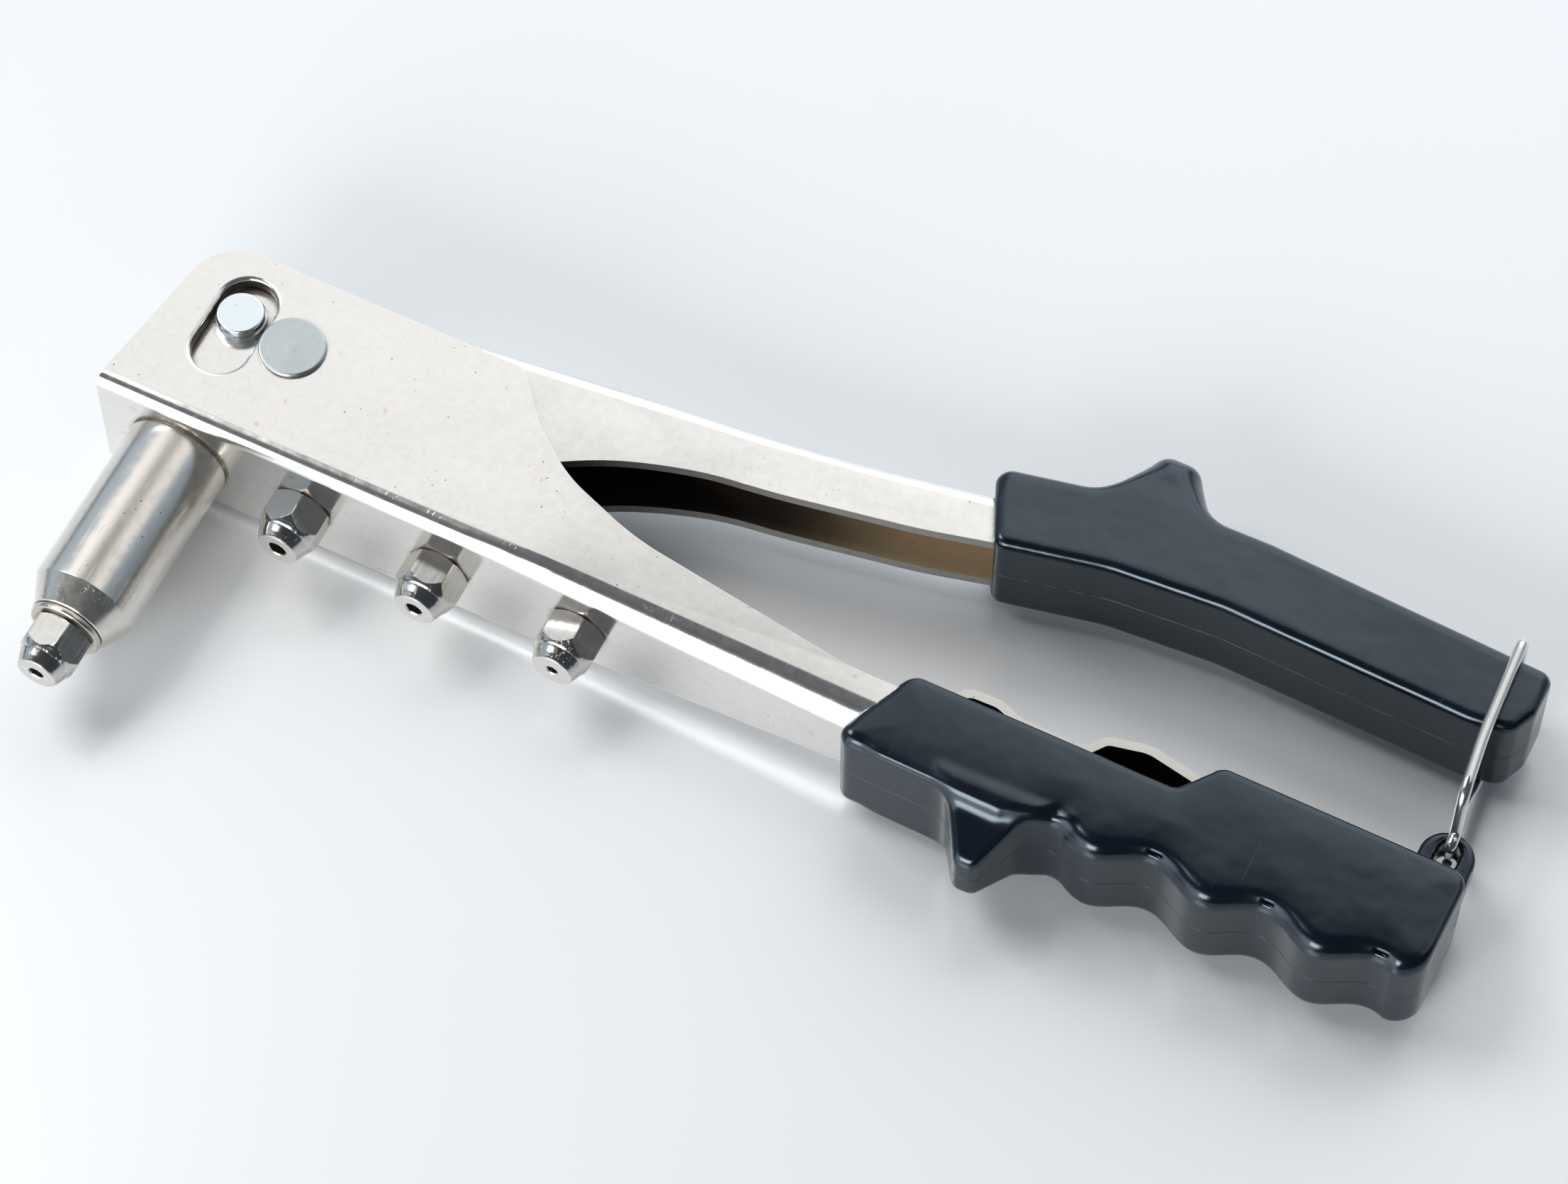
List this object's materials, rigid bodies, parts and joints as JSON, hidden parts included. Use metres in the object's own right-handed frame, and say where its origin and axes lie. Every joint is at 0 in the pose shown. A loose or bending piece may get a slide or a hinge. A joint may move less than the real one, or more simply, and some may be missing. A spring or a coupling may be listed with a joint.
{
  "type": "hand riveter",
  "caption": "Hand-squeezed lever riveter with a pressed-steel frame, nose barrel, moulded grips, wire latch and stored spare nosepieces for setting blind rivets.",
  "frame": {"origin": "middle of the bounding box in plan, on the surface the tool lies on", "axes": "+X along the frame's spine from the nose barrel to the handle end, +Y from the spine towards the squeeze lever, +Z across the cheeks, up from the surface the tool lies on"},
  "size_m": [0.2428, 0.119, 0.0281],
  "materials": {
    "frame_plate": "bright nickel plate",
    "barrel_plate": "satin nickel plate",
    "nosepiece_steel": "zinc plated, turned",
    "pin_zinc": "bright turned zinc plate",
    "rivet_steel": "grey zinc plate",
    "wrench_steel": "sheared nickel-plated strip",
    "grip_vinyl": "glossy moulded vinyl",
    "bail_nickel": "bright wire",
    "inner_steel": "oiled steel"
  },
  "bodies": {
    "frame_body": {"frame": "frame_plate", "lower_grip": "grip_vinyl", "barrel": "barrel_plate", "barrel_nut": "inner_steel", "nose_washer": "nosepiece_steel", "mounted_nosepiece": "nosepiece_steel", "spare_nosepiece_large": "nosepiece_steel", "spare_nosepiece_medium": "nosepiece_steel", "spare_nosepiece_small": "nosepiece_steel", "pivot_rivet": "rivet_steel", "pivot_bush": "inner_steel", "nosepiece_wrench": "wrench_steel"},
    "lever_body": {"lever": "frame_plate", "upper_grip": "grip_vinyl", "carrier_pin": "pin_zinc", "pivot_washers": "inner_steel"},
    "jaw_carriage": {"jaw_carrier": "inner_steel", "lock_nut": "inner_steel", "jaw_case": "inner_steel", "jaw_left": "inner_steel", "jaw_right": "inner_steel", "jaw_pusher": "inner_steel", "pusher_spring": "inner_steel"},
    "latch": {"bail_wire": "bail_nickel"}
  },
  "joints": [
    {"name": "lever_pivot", "type": "hinge", "parent": "frame_body", "child": "lever_body", "pos_m": [-0.0946, 0.00815, 0.01405], "axis": [0, 0, -1], "range_deg": [0, 3.6]},
    {"name": "jaw_slide", "type": "slide", "parent": "frame_body", "child": "jaw_carriage", "axis": [0, 1, 0], "range_m": [0, 0.00072]},
    {"name": "latch_pivot", "type": "hinge", "parent": "frame_body", "child": "latch", "pos_m": [0.1157, 0.01305, 0.01405], "axis": [0, 0, -1], "range_deg": [0, 120]}
  ],
  "couplings": [
    {"joint": "jaw_slide", "follows": "lever_pivot", "m_per_rad": 0.01129}
  ]
}
